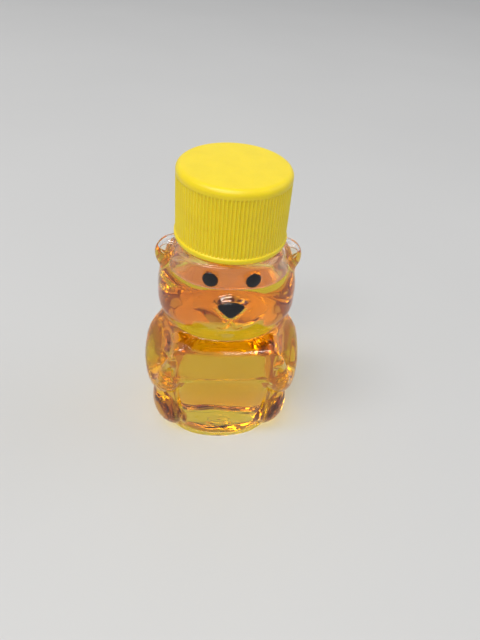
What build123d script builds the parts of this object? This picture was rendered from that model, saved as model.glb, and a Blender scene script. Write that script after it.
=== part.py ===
from build123d import *
import math
import os

# A small clear bear-shaped honey bottle with a ribbed screw cap.
# Millimetres. The base stands on Z 0 with its centre at the origin, and the bear faces -Y.

os.makedirs("parts", exist_ok=True)

# Base and trunk
base_width = 33.8
base_depth = 28.1
base_edge_radius = 1.2
torso_width = 38.4
torso_front_depth = 15.2
torso_back_depth = 17.0
torso_height = 43.0
base_power = 2.5
trunk_power = 2.3

# Push-up under the base, with the moulding gate in its middle
push_up_radius = 10.5
push_up_height = 1.3
gate_radius = 2.8
gate_height = 0.7

# Head
head_width = 36.6
head_depth = 30.4
head_height = 22.7
forehead_depth = 27.4
crown_width = 27.0
crown_depth = 25.6
head_power = 2.2

# Muzzle and chin
muzzle_width = 17.0
muzzle_depth = 12.6
muzzle_height = 13.0
muzzle_reach = 2.0
muzzle_rise = 9.0
chin_width = 9.2
chin_depth = 6.8
chin_height = 6.4
chin_rise = 2.6
chin_reach = 15.0

# Ears
ear_width = 10.4
ear_depth = 6.6
ear_height = 10.6
ear_spread = 13.6
ear_sink = 5.3

# Arms and hands
elbow_reach = 23.0
arm_radius = 5.1
hand_width = 6.6
hand_depth = 6.4
hand_height = 9.0
hand_spread = 15.2
finger_count = 4
finger_radius = 0.95
finger_pitch = 1.85
finger_wrap = 1.2
finger_reach_back = 2.4
finger_drop = 1.2
finger_rise = 3.2
thumb_radius = 1.5
thumb_rise = 3.6
thumb_length = 4.2

# Front panel
panel_width = 28.6
panel_height = 12.6
panel_bottom = 28.4
panel_reach = 16.4
panel_corner_radius = 3.0
panel_foot_radius = 1.0
panel_dip = 1.2
panel_ledge = 3.2
panel_ledge_rise = 1.1

# Haunches
haunch_width = 16.2
haunch_depth = 21.0
haunch_height = 18.4
haunch_spread = 13.2
haunch_rise = 8.9
haunch_forward = 2.6

# Eyes and nose: raised pads with a thin coat of ink
eye_width = 4.0
eye_height = 3.4
eye_depth = 3.2
eye_spacing = 10.2
eye_sink = 3.8
eye_tilt = 28.0
nose_width = 7.2
nose_height = 4.6
nose_arch = 1.4
nose_sink = 8.0
nose_depth = 5.2
nose_corner_radius = 0.6
pad_raise = 0.5
pad_rim = 0.4
ink_thickness = 0.15

# Wall and filling
wall = 0.9
base_wall = 1.1
film_gap = 0.05
honey_level = 58.6

# Neck finish
finish_diameter = 21.6
finish_height = 16.5
bore_diameter = 18.4
thread_diameter = 23.7
thread_pitch = 3.175
thread_turns = 1.5
thread_start = 1.3
thread_root_width = 1.9
thread_crest_width = 0.9
thread_sink = 0.4
lip_radius = 0.4

# Cap and liner
cap_height = 18.0
cap_diameter = 27.4
cap_top_diameter = 26.9
cap_top_wall = 1.3
cap_edge_radius = 1.0
cap_bead_diameter = 28.0
cap_bead_height = 1.5
cap_bead_radius = 0.6
cap_band_height = 2.1
cap_lead_in = 0.4
cap_thread_clearance = 0.3
cap_thread_turns = 1.8
cap_thread_root_width = 1.5
cap_thread_crest_width = 0.6
rib_count = 96
rib_depth = 0.38
liner_thickness = 1.0
liner_clearance = 0.25

# How far a cut runs past the surface that it opens
overrun = 1.0

# Rows of shares: height, width and depth of the trunk above its base
torso_shares = (
    (0.12, 0.93, 0.93),
    (0.30, 0.98, 0.98),
    (0.52, 1.00, 1.00),
    (0.72, 0.96, 0.96),
    (0.88, 0.90, 0.86),
    (1.00, 0.82, 0.75),
    (1.08, 0.66, 0.58),
)

# Rows of shares: height in the head, width, depth in front and depth behind
head_shares = (
    (-0.12, 0.74, 0.68, 0.68),
    (0.00, 0.90, 0.84, 0.82),
    (0.13, 0.98, 0.95, 0.91),
    (0.36, 1.00, 1.00, 0.95),
    (0.56, 0.97, 0.97, 0.95),
)

# Brow and temple rows of shares: height in the head, head width, and crown depth mixed into the forehead's
brow_shares = (
    (0.80, 0.83, 0.00),
    (0.94, 0.77, 0.50),
)

# Rows of shares along an arm: out to the elbow, forward in the trunk, height in the trunk, arm radius
arm_shares = (
    (0.76, 0.00, 0.90, 0.92),
    (0.92, 0.00, 0.78, 1.00),
    (1.00, 0.10, 0.63, 1.00),
    (0.98, 0.35, 0.54, 0.96),
    (0.92, 0.64, 0.55, 0.82),
    (0.85, 0.81, 0.62, 0.71),
)

# A thread ridge has this many sections in a turn, and fades in and out over this share of a turn
section_points = 16
thread_sections = 12
thread_fade_share = 0.125

# Worked out from the sizes above
shoulder_z = torso_height + head_height
mouth_z = shoulder_z + finish_height
cap_top_z = mouth_z + liner_thickness + cap_top_wall
cap_bottom_z = cap_top_z - cap_height
cap_bore_radius = thread_diameter / 2 + cap_thread_clearance
cap_thread_radius = finish_diameter / 2 + cap_thread_clearance
thread_bottom_z = mouth_z - thread_start - thread_root_width / 2 - thread_pitch * thread_turns
eye_z = shoulder_z - eye_sink
nose_z = shoulder_z - nose_sink - nose_height / 2
panel_edge = panel_width / 2
sides = (-1, 1)


def oval(z, half_width, front, back, power):
    """A rounded section across the bear, with its own depth in front of the middle and behind it."""
    points = []
    for step in range(section_points):
        turn = 2 * math.pi * step / section_points
        across = math.cos(turn)
        along = math.sin(turn)
        depth = back if along > 0 else front
        x = half_width * math.copysign(abs(across) ** (2 / power), across)
        y = depth * math.copysign(abs(along) ** (2 / power), along)
        points.append((x, y, z))
    return make_face(Spline(*points, periodic=True))


def egg(center, radii):
    """An ellipsoid from its centre and its half sizes."""
    return Pos(*center) * scale(Sphere(1), by=radii)


def capsule(start, end, radius):
    """A rod with round ends, for a finger or a thumb."""
    length = (end - start).length
    diagonal = radius * math.sqrt(0.5)
    outline = Line((0, -radius), (0, length + radius))
    outline += ThreePointArc((0, length + radius), (diagonal, length + diagonal), (radius, length))
    outline += Line((radius, length), (radius, 0))
    outline += ThreePointArc((radius, 0), (diagonal, -diagonal), (0, -radius))
    rod = revolve(Plane.XZ * make_face(outline), Axis.Z)
    return Plane(origin=start, z_dir=(end - start).normalized()) * rod


def torso_form(inset):
    """The trunk of the bear, from its oval base up into the head."""
    half_depth = base_depth / 2 - inset
    rings = [oval(0, base_width / 2 - inset, half_depth, half_depth, base_power)]
    for height_share, width_share, depth_share in torso_shares:
        half_width = torso_width / 2 * width_share - inset
        front = torso_front_depth * depth_share - inset
        back = torso_back_depth * depth_share - inset
        rings.append(oval(torso_height * height_share, half_width, front, back, trunk_power))
    trunk = loft(rings)
    return fillet(trunk.edges().group_by(Axis.Z)[0], base_edge_radius)


def head_rows():
    """The head's sections: height, half width, depth in front and depth behind."""
    rows = []
    for height_share, width_share, front_share, back_share in head_shares:
        z = torso_height + head_height * height_share
        rows.append((z, head_width / 2 * width_share, head_depth / 2 * front_share, head_depth / 2 * back_share))
    for height_share, width_share, crown_share in brow_shares:
        z = torso_height + head_height * height_share
        depth = (forehead_depth * (1 - crown_share) + crown_depth * crown_share) / 2
        rows.append((z, head_width / 2 * width_share, depth, depth))
    rows.append((shoulder_z, crown_width / 2, crown_depth / 2, crown_depth / 2))
    return rows


def head_form(inset):
    """The head, from inside the trunk up to the flat crown that carries the neck."""
    rings = []
    for z, half_width, front, back in head_rows():
        height = shoulder_z - inset if z == shoulder_z else z
        rings.append(oval(height, half_width - inset, front - inset, back - inset, head_power))
    return loft(rings)


def face_depth(x, z):
    """How far forward the head lies at a place, by straight lines between its sections."""
    rows = head_rows()
    for low, high in zip(rows, rows[1:]):
        if low[0] <= z <= high[0]:
            part_way = (z - low[0]) / (high[0] - low[0])
            half_width = low[1] + (high[1] - low[1]) * part_way
            depth = low[2] + (high[2] - low[2]) * part_way
            return depth * (1 - (abs(x) / half_width) ** head_power) ** (1 / head_power)
    return forehead_depth / 2


def muzzle_form(inset):
    """The rounded snout under the eyes."""
    reach = head_depth / 2 + muzzle_reach
    center = (0, muzzle_depth / 2 - reach, torso_height + muzzle_rise)
    return egg(center, (muzzle_width / 2 - inset, muzzle_depth / 2 - inset, muzzle_height / 2 - inset))


def chin_form(inset):
    """The small chin under the mouth."""
    center = (0, chin_depth / 2 - chin_reach, torso_height + chin_rise)
    return egg(center, (chin_width / 2 - inset, chin_depth / 2 - inset, chin_height / 2 - inset))


def ear_form(side, inset):
    """One ear, a flattened round lobe beside the crown."""
    center = (side * ear_spread, 0, shoulder_z - ear_sink)
    return egg(center, (ear_width / 2 - inset, ear_depth / 2 - inset, ear_height / 2 - inset))


def arm_form(side, inset):
    """One arm, from the shoulder out to the elbow and forward to the wrist."""
    path = []
    for out_share, forward_share, height_share, radius_share in arm_shares:
        x = side * (elbow_reach - arm_radius) * out_share
        path.append(Vector(x, -torso_front_depth * forward_share, torso_height * height_share))
    rings = []
    for index, (out_share, forward_share, height_share, radius_share) in enumerate(arm_shares):
        ahead = path[min(index + 1, len(path) - 1)]
        behind = path[max(index - 1, 0)]
        plane = Plane(origin=path[index], z_dir=(ahead - behind).normalized())
        rings.append(plane * Circle(arm_radius * radius_share - inset))
    return loft(rings)


def hand_form(side, inset):
    """The palm at the lower corner of the panel."""
    center = (side * hand_spread, hand_depth / 2 - panel_reach, panel_bottom)
    return egg(center, (hand_width / 2 - inset, hand_depth / 2 - inset, hand_height / 2 - inset))


def finger_forms(side):
    """Four fingers stacked at the panel's edge, and a thumb that points up beside it."""
    rods = []
    for finger in range(finger_count):
        z = panel_bottom + finger_rise - finger_pitch * finger
        root = Vector(side * (panel_edge + finger_reach_back), finger_reach_back - panel_reach, z)
        tip = Vector(side * (panel_edge - finger_wrap), finger_radius / 2 - panel_reach, z - finger_drop)
        rods.append(capsule(root, tip, finger_radius))
    thumb_x = side * (panel_edge + thumb_radius)
    base_of_thumb = Vector(thumb_x, panel_ledge - panel_reach, panel_bottom + thumb_rise)
    tip_of_thumb = Vector(side * panel_edge, thumb_radius - panel_reach, panel_bottom + thumb_rise + thumb_length)
    rods.append(capsule(base_of_thumb, tip_of_thumb, thumb_radius))
    return rods


def haunch_form(side, inset):
    """One haunch, which swells beside the base."""
    center = (side * haunch_spread, -haunch_forward, haunch_rise)
    return egg(center, (haunch_width / 2 - inset, haunch_depth / 2 - inset, haunch_height / 2 - inset))


def panel_outline(inset, top_z):
    """The panel from the front: round upper corners, and a top edge that dips under the chin."""
    edge = panel_edge - inset
    foot = panel_bottom + inset
    top = top_z - inset
    outline = Polyline((-edge, top), (-edge, foot), (edge, foot), (edge, top))
    outline += ThreePointArc((edge, top), (0, top - panel_dip), (-edge, top))
    face = make_face(outline)
    corners = face.vertices().sort_by(Axis.Y)
    face = fillet(corners[2:], panel_corner_radius)
    return fillet(face.vertices().sort_by(Axis.Y)[:2], panel_foot_radius)


def panel_form(inset):
    """The block of the front panel, with its sloped ledge under the chin."""
    top_z = panel_bottom + panel_height
    ledge_top = top_z + panel_ledge_rise
    face_y = panel_reach - inset
    ledge_y = panel_reach - panel_ledge - inset
    back = Plane.XZ * panel_outline(inset, ledge_top)
    ledge_face = Plane.XZ.offset(ledge_y) * panel_outline(inset, ledge_top)
    front_face = Plane.XZ.offset(face_y) * panel_outline(inset, top_z)
    return extrude(back, ledge_y) + loft([ledge_face, front_face], ruled=True)


def bear_form(inset):
    """The whole bear without its neck. With an inset it is the space inside the wall."""
    forms = [head_form(inset), muzzle_form(inset), chin_form(inset), panel_form(inset)]
    for side in sides:
        forms += [ear_form(side, inset), arm_form(side, inset), hand_form(side, inset), haunch_form(side, inset)]
    return torso_form(inset).fuse(*forms)


def base_hollow(grow):
    """The push-up under the base and the gate in its middle."""
    radius = (push_up_radius**2 + push_up_height**2) / (2 * push_up_height)
    dome = Pos(0, 0, push_up_height - radius) * Sphere(radius + grow)
    top = push_up_height + gate_height + grow
    gate = Cylinder(gate_radius + grow, top, align=(Align.CENTER, Align.CENTER, Align.MIN))
    return dome + gate


def eye_place(side):
    """The middle of an eye on the front of the head, turned to face as the head does there."""
    x = side * eye_spacing / 2
    half_width = eye_width / 2
    fall = face_depth(x - side * half_width, eye_z) - face_depth(x + side * half_width, eye_z)
    turn = side * math.degrees(math.atan2(fall, eye_width))
    return Pos(x, -face_depth(x, eye_z), eye_z) * Rot(0, 0, turn) * Rot(0, -side * eye_tilt, 0)


def eye_boss(side, grow):
    """The raised pad under an eye's ink."""
    radii = (eye_width / 2 + pad_rim + grow, eye_depth / 2 + grow, eye_height / 2 + pad_rim + grow)
    return eye_place(side) * egg((0, eye_depth / 2 - pad_raise, 0), radii)


def eye_column(side):
    """A column through an eye, as wide as its ink."""
    return eye_place(side) * extrude(Plane.XZ * Ellipse(eye_width / 2, eye_height / 2), eye_depth / 2, both=True)


def nose_outline(rim):
    """The nose from the front: an arched top edge over a point that faces down."""
    half_width = nose_width / 2 + rim
    brow = nose_z + nose_height / 2 + rim
    tips = brow - nose_arch
    point = nose_z - nose_height / 2 - rim
    outline = ThreePointArc((-half_width, tips), (0, brow), (half_width, tips))
    outline += Polyline((half_width, tips), (0, point), (-half_width, tips))
    face = make_face(outline)
    return fillet(face.vertices(), nose_corner_radius)


def nose_boss(grow):
    """The rounded button under the nose's ink."""
    reach = head_depth / 2 + muzzle_reach
    radii = (nose_width / 2 + pad_rim * 3 + grow, nose_depth / 2 + grow, nose_height / 2 + pad_rim * 3 + grow)
    return egg((0, nose_depth / 2 - reach, nose_z), radii)


def nose_column(rim):
    """A column through the nose, as wide as its outline."""
    return extrude(Plane.XZ * nose_outline(rim), head_depth)


def thread_ridge(root_radius, crest_radius, root_width, crest_width, bottom_z, turns, first_turn):
    """A screw ridge of tapering section that climbs one pitch a turn and fades at both ends."""
    outward = 1 if crest_radius > root_radius else -1
    count = round(turns * thread_sections)
    rings = []
    for step in range(count + 1):
        turned = turns * step / count
        fade = min(1, turned / thread_fade_share, (turns - turned) / thread_fade_share)
        angle = 2 * math.pi * (first_turn + turned)
        radial = Vector(math.cos(angle), math.sin(angle), 0)
        across = Vector(math.sin(angle), -math.cos(angle), 0)
        plane = Plane(origin=(0, 0, bottom_z + thread_pitch * turned), x_dir=radial, z_dir=across)
        foot = root_radius - outward * thread_sink
        crest = foot + (crest_radius - foot) * max(fade, thread_fade_share)
        points = ((foot, -root_width / 2), (crest, -crest_width / 2), (crest, crest_width / 2), (foot, root_width / 2))
        rings.append(plane * make_face(Polyline(*points, close=True)))
    return loft(rings)


def neck_form():
    """The threaded neck above the crown, without its bore."""
    foot_z = shoulder_z - wall
    bottom = Plane.XY.offset(foot_z)
    tube = extrude(bottom * Circle(finish_diameter / 2), mouth_z - foot_z)
    tube = fillet(tube.edges().group_by(Axis.Z)[-1], lip_radius)
    ridge = thread_ridge(
        finish_diameter / 2,
        thread_diameter / 2,
        thread_root_width,
        thread_crest_width,
        thread_bottom_z,
        thread_turns,
        0,
    )
    return tube + ridge


def make_outside():
    """The bottle's outside as one solid: the bear, its neck and its raised features."""
    trunk = bear_form(0)
    features = [neck_form(), nose_boss(0) & nose_column(pad_rim)]
    for side in sides:
        features.append(eye_boss(side, 0))
        features += finger_forms(side)
    return trunk.fuse(*features)


def make_bottle(outside):
    """The clear bottle around its one hollow, open at the neck."""
    below = Pos(0, 0, -overrun) * Box(
        elbow_reach * 2 + overrun, elbow_reach * 2 + overrun, overrun, align=(Align.CENTER, Align.CENTER, Align.MIN)
    )
    bore_foot = shoulder_z - wall - overrun
    bore = Plane.XY.offset(bore_foot) * Circle(bore_diameter / 2)
    return outside.cut(hollow_form(wall), base_hollow(0), below, extrude(bore, mouth_z + overrun - bore_foot))


def hollow_form(inset):
    """The space inside the wall, down to the raised floor over the push-up."""
    floor = inset - wall + base_wall
    size = elbow_reach * 2
    slab = Pos(0, 0, floor - size) * Box(size, size, size, align=(Align.CENTER, Align.CENTER, Align.MIN))
    return bear_form(inset).cut(slab, base_hollow(floor))


def make_honey():
    """The honey, which fills the bottle up to its level, a hair's breadth inside the wall."""
    size = elbow_reach * 2
    air = Pos(0, 0, honey_level) * Box(size, size, size, align=(Align.CENTER, Align.CENTER, Align.MIN))
    return hollow_form(wall + film_gap).cut(air)


def make_eye(side, outside):
    """The ink of one eye, a thin coat on its raised pad."""
    return (eye_boss(side, ink_thickness) & eye_column(side)) - outside


def make_nose(outside):
    """The ink of the nose, a thin coat on its button."""
    return (nose_boss(ink_thickness) & nose_column(0)) - outside


def rib_ring(z, radius):
    """The ribbed outline of the cap at one height."""
    pitch = 2 * math.pi / rib_count
    corner_shares = ((0.00, 0), (0.22, 1), (0.56, 1), (0.78, 0))
    points = []
    for rib in range(rib_count):
        for turn_share, crest in corner_shares:
            angle = pitch * (rib + turn_share)
            reach = radius - rib_depth * (1 - crest)
            points.append((reach * math.cos(angle), reach * math.sin(angle), z))
    return make_face(Polyline(*points, close=True))


def cap_bead():
    """The plain rolled bead around the cap's lower edge."""
    outer = cap_bead_diameter / 2
    top_z = cap_bottom_z + cap_bead_height
    section = make_face(Polyline((0, cap_bottom_z), (outer, cap_bottom_z), (outer, top_z), (0, top_z), close=True))
    rims = section.vertices().group_by(Axis.X)[-1]
    return revolve(Plane.XZ * fillet(rims, cap_bead_radius), Axis.Z)


def cap_crown():
    """The smooth band and the flat top above the ribs."""
    outer = cap_top_diameter / 2
    low_z = cap_top_z - cap_band_height
    section = make_face(Polyline((0, low_z), (outer, low_z), (outer, cap_top_z), (0, cap_top_z), close=True))
    rim = section.vertices().group_by(Axis.X)[-1].sort_by(Axis.Y)[-1]
    return revolve(Plane.XZ * fillet(rim, cap_edge_radius), Axis.Z)


def make_cap():
    """The yellow closure: ribbed skirt, bead, flat top and the ridge that screws on the neck."""
    ribs_low = cap_bottom_z + cap_bead_height
    ribs_high = cap_top_z - cap_band_height
    skirt = loft([rib_ring(ribs_low, cap_diameter / 2), rib_ring(ribs_high, cap_top_diameter / 2)], ruled=True)
    blank = skirt + cap_bead() + cap_crown()
    roof_z = cap_top_z - cap_top_wall
    bore_points = (
        (0, cap_bottom_z - overrun),
        (cap_bore_radius + cap_lead_in + overrun, cap_bottom_z - overrun),
        (cap_bore_radius, cap_bottom_z + cap_lead_in),
        (cap_bore_radius, roof_z),
        (0, roof_z),
    )
    bore = revolve(Plane.XZ * make_face(Polyline(*bore_points, close=True)), Axis.Z)
    ridge = thread_ridge(
        cap_bore_radius,
        cap_thread_radius,
        cap_thread_root_width,
        cap_thread_crest_width,
        thread_bottom_z - thread_pitch * (cap_thread_turns - thread_turns / 2),
        cap_thread_turns,
        thread_turns / 2 - cap_thread_turns + 0.5,
    )
    return (blank - bore) + ridge


def make_liner():
    """The sealing disc between the cap's top and the mouth of the neck."""
    face = Plane.XY.offset(mouth_z) * Circle(cap_bore_radius - liner_clearance)
    return extrude(face, liner_thickness)


outside = make_outside()
pieces = {
    "bottle": make_bottle(outside),
    "honey": make_honey(),
    "left_eye": make_eye(-1, outside),
    "right_eye": make_eye(1, outside),
    "nose": make_nose(outside),
    "cap": make_cap(),
    "cap_liner": make_liner(),
}
for name, piece in pieces.items():
    export_step(piece, f"parts/{name}.step")
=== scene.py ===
"""A honey bear bottle: clear blow-moulded bear, honey inside, yellow ribbed screw cap."""

import math

import bpy
import numpy as np
from mathutils import Matrix, Vector


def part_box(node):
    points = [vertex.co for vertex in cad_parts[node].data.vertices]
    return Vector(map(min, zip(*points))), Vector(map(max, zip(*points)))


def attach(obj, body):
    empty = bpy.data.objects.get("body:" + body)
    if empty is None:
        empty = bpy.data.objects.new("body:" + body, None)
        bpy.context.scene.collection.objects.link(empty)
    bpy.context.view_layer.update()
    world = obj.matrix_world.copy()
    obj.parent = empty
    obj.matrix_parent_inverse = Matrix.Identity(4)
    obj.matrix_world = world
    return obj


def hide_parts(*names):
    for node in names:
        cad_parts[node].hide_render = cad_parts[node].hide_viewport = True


bl_info = {
    "name": "Honey Bear Bottle",
    "version": (1, 0, 0),
    "blender": (4, 5, 0),
    "location": "View3D > Sidebar > Bear Bottle",
    "description": "Dresses the frame of a small bear-shaped honey bottle",
    "category": "Object",
}

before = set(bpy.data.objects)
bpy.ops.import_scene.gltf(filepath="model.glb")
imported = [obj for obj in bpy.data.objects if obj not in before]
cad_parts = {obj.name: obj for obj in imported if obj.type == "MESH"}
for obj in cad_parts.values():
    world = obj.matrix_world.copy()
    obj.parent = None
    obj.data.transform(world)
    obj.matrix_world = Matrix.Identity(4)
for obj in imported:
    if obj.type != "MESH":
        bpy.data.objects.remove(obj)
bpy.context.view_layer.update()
MM = 0.001


def corner(node, end, axis):
    """One coordinate of a frame node's box, in millimetres. End 0 is the low corner and 1 the high one."""
    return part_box(node)[end][axis] / MM


# Heights and sizes that the frame sets, in millimetres
MOUTH_Z = corner("bottle", 1, 2)
CAP_LOW_Z = corner("cap", 0, 2)
CAP_HIGH_Z = corner("cap", 1, 2)
CAP_BEAD_RADIUS = corner("cap", 1, 0)
HONEY_TOP_Z = corner("honey", 1, 2)
ELBOW_REACH = corner("bottle", 1, 0)
BACK_DEPTH = corner("bottle", 1, 1)

# The bear's own sizes, in millimetres
BASE_WIDTH, BASE_DEPTH = 33.8, 28.1
BASE_EDGE = 1.3
TRUNK_WIDTH, TRUNK_FRONT, TRUNK_HEIGHT, TRUNK_POWER = 38.4, 15.2, 43.0, 2.3
HEAD_WIDTH, HEAD_DEPTH, HEAD_HEIGHT, HEAD_POWER = 36.6, 30.4, 22.7, 2.2
FOREHEAD_DEPTH, CROWN_WIDTH, CROWN_DEPTH = 27.4, 27.0, 25.6
SHOULDER_Z = TRUNK_HEIGHT + HEAD_HEIGHT
PUSH_UP_RADIUS, PUSH_UP_HEIGHT = 10.5, 1.3
GATE_RADIUS, GATE_HEIGHT = 2.8, 0.7
WALL = 0.9
FINISH_RADIUS, BORE_RADIUS, THREAD_RADIUS = 10.8, 9.2, 11.85
THREAD_PITCH, THREAD_TURNS, THREAD_WIDTH = 3.175, 1.5, 1.4
THREAD_LEAD, THREAD_RUN_OUT = 1.3, 0.95
THREAD_FOOT = MOUTH_Z - THREAD_LEAD - THREAD_RUN_OUT - THREAD_PITCH * THREAD_TURNS

ARM_RADIUS, ARM_STATIONS, ARM_TUCK = 5.1, 16, 0.15
MUZZLE_RADII, MUZZLE_REACH, MUZZLE_RISE = (8.5, 6.3, 6.5), 2.0, 9.0
CHIN_RADII, CHIN_RISE, CHIN_REACH = (4.6, 3.4, 3.2), 2.6, 15.0
EAR_RADII, EAR_SPREAD, EAR_SINK = (5.2, 3.3, 5.3), 13.6, 5.3
HAND_RADII, HAND_SPREAD = (3.3, 3.2, 4.5), 15.2
FINGER_COUNT, FINGER_PITCH, FINGER_WIDTH, FINGER_DEPTH = 4, 1.8, 0.42, 0.42
FINGER_WRAP, FINGER_LENGTH, FINGER_DROP, FINGER_RISE = 0.2, 4.6, 1.6, 2.6
FINGER_START, FINGER_END = 0.8, 1.4
THUMB_RADIUS, THUMB_RISE, THUMB_LENGTH = 1.5, 3.6, 4.2
HAUNCH_RADII, HAUNCH_SPREAD, HAUNCH_RISE, HAUNCH_FORWARD = (8.1, 10.5, 9.2), 13.2, 8.9, 2.6
PANEL_WIDTH, PANEL_FOOT, PANEL_TOP, PANEL_REACH = 28.6, 28.4, 41.0, 16.4
PANEL_CORNER, PANEL_FOOT_CORNER, PANEL_EDGE, PANEL_CROWN = 3.0, 1.0, 1.0, 0.25
PANEL_DIP, PANEL_LEDGE, PANEL_LEDGE_RISE = 1.2, 3.2, 1.1
EYE_WIDTH, EYE_HEIGHT, EYE_DEPTH, EYE_SPACING, EYE_SINK, EYE_TILT = 3.9, 3.7, 3.2, 10.2, 3.8, 28.0
NOSE_WIDTH, NOSE_HEIGHT, NOSE_ARCH, NOSE_SINK, NOSE_DEPTH, NOSE_POINT = 7.2, 4.6, 1.4, 8.0, 5.2, 0.35
PAD_RAISE, PAD_RIM, INK = 0.5, 0.4, 0.13
MOUTH_DEPTH, MOUTH_WIDTH = 0.42, 0.32
MOUTH_LINE = ((0.0, 53.2), (0.0, 52.3), (0.45, 51.3), (1.05, 50.1), (1.9, 49.4), (2.85, 49.7))
SEAM_HEIGHT, SEAM_WIDTH, CROWN_EDGE = 0.07, 0.22, 1.2
CREASE_DEPTH, CREASE_WIDTH = 0.55, 0.8
CREASE_HEIGHTS, CREASE_PLACES = (0, 6, 14, 20, 24), (11.6, 12.6, 13.2, 13.4, 13.4)
CREASE_FOOT, CREASE_FOOT_FADE, CREASE_TOP, CREASE_TOP_FADE = 1.0, 3.0, 25.0, 4.0
FAR_OUT, CORE = 26.0, 3
BASE_WALL, FLOOR_EDGE, LIP = 1.1, 1.8, 0.4
FILM, MENISCUS = 0.03, 0.45
HONEY_EDGE_Z = HONEY_TOP_Z + MENISCUS
EAR_CREEP, EAR_TURN = 3.2, math.radians(13)
NECK_FILLET, NECK_SPACING, NECK_START = 0.6, 0.22, 1.0
BORE_FILLET, BORE_SPACING = 0.5, 1.5
THREAD_START, THREAD_FADE, THREAD_FLANK = 0.25, 0.125, 0.5
GATE_EDGE = 0.6

# How widely each form blends into the body, and how round the edges of the pads are
HEAD_BLEND, HAUNCH_BLEND, ARM_BLEND, EAR_BLEND = 1.6, 0.8, 2.2, 1.4
MUZZLE_BLEND, CHIN_BLEND, PANEL_BLEND, HAND_BLEND, THUMB_BLEND = 2.6, 1.0, 1.0, 0.9, 0.8
EYE_PAD_BLEND, NOSE_PAD_BLEND, EYE_PAD_EDGE, NOSE_PAD_EDGE, NOSE_CORNER = 0.7, 1.3, 0.8, 1.0, 0.9

# The cap's own sizes, in millimetres
CAP_RIB_RADIUS, CAP_TOP_RADIUS, CAP_BORE_RADIUS, CAP_THREAD_RADIUS = 13.7, 13.45, 12.15, 11.1
CAP_EDGE, CAP_BAND, CAP_BEAD, CAP_ROOF = 1.5, 2.1, 1.5, 1.3
CAP_ROOF_Z = CAP_HIGH_Z - CAP_ROOF
CAP_THREAD_TURNS = 1.8
CAP_THREAD_FOOT = THREAD_FOOT - THREAD_PITCH * (CAP_THREAD_TURNS - THREAD_TURNS / 2)
CAP_COLUMNS, CAP_RING_SPACING, CAP_FILLET, CAP_MOUTH = 10, 0.3, 0.4, 0.5
CAP_THREAD_START, CAP_THREAD_REACH, CAP_THREAD_FLANK = 0.30, 0.75, 0.45
BEAD_FOOT, BEAD_FLAT, BEAD_EDGE = 0.6, 0.5, 0.45
RIB_END, RIB_FOOT, RIB_GAP = 0.45, 0.12, 0.05
CAP_ROOF_RADII = (3.0, 6.0, 9.0, 11.0, CAP_BORE_RADIUS - CAP_FILLET)

# Half a valley between two ribs and the width of its flank, as shares of one rib
VALLEY_HALF, VALLEY_FLANK = 0.36, 0.20

# The rings of the ribs: how far the close ones reach at both ends, how many they are, how many lie between
# them, and how far those stay from either end
RIB_END_SPAN, RIB_END_RINGS, RIB_RINGS, RIB_RINGS_FOOT, RIB_RINGS_TOP = 0.6, 7, 14, 1.2, 0.8

# The radii of the shell, kept for the honey once the bottle is made
SHELL = {}

# The columns of half the shell: how far round the face goes, in degrees, and how many each part has
FACE_TURN, FACE_COLUMNS, FLANK_COLUMNS, BACK_COLUMNS = 46, 96, 54, 61

# The rings of the underside over the push-up, and where rings lie across any flat face, as shares of it
BASE_RADII = (0.0, 0.9, 1.8, 2.5, 2.65, 2.8, 2.95, 3.1, 4.2, 5.6, 7.0, 8.4, 9.6, 10.2, 10.5, 10.9)
FLAT_SHARES = (0.2, 0.4, 0.6, 0.8, 0.95)

# How the honey's edge creeps up the wall: where it starts, its width there and in the ears, and its rings
CREEP_START, CREEP_RINGS, CREEP_WIDTH, EAR_CREEP_WIDTH = 0.3, 15, 0.6, 0.9
CREEP_OUTS = (0.15, 0.35, 0.6, 0.95, 1.4, 2.0, 2.8, 4.0, 5.5)

# The rings of a coat of ink, as shares of its outline
INK_SHARES = (0.06, 0.2, 0.4, 0.6, 0.75, 0.86, 0.93, 0.97, 0.99, 1.0)

# How a ray looks for a form: what share of the distance a step takes, its shortest and longest step, how
# many guesses then close in on the surface, and how near to either end a guess may be
STEP_SHARE, SHORT_STEP, LONG_STEP = 0.75, 0.12, 2.0
GUESSES, LOW_GUESS, HIGH_GUESS = 12, 0.02, 0.98

# What part of the way from black to white a noise mostly fills
NOISE_LOW, NOISE_HIGH = 0.3, 0.7

# How closely the rings of the shell lie: each band's top, then the spacing below it
OUTER_SPACING = (
    (39.4, 0.28), (43.6, 0.12), (48.0, 0.16), (60.0, 0.2), (64.2, 0.25), (65.2, 0.1), (SHOULDER_Z, 0.05)
)
WET_SPACING = ((39.0, 0.3), (48.0, 0.18), (SHOULDER_Z, 0.2))
DRY_SPACING = ((64.0, 0.2), (SHOULDER_Z, 0.1))

# The unevenness of the blown wall: its height and the length of its waves
INNER_RIPPLE, INNER_RIPPLE_LENGTH = 0.12, 9.0
OUTER_RIPPLE, OUTER_RIPPLE_LENGTH = 0.025, 7.0
RIPPLE_WAVES, RIPPLE_PEAK = 7, 2.6

# The camera: focal length and longer side in pixels of the photograph, place in millimetres and turns in
# radians
CAMERA_FOCUS, PHOTO_SIDE, CAMERA_DISTANCE, CAMERA_HEIGHT = 481.0, 640, 103.93, 129.81
CAMERA_TURN, CAMERA_HEADING = math.radians(-5.000), math.radians(-7.508)
CAMERA_TILT, CAMERA_ROLL = math.radians(41.418), math.radians(5.808)

# The table, in metres: half its side, and how far it lies under the base so that they don't share a plane
TABLE_HALF, TABLE_DROP = 1.4, 0.00002

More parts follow.
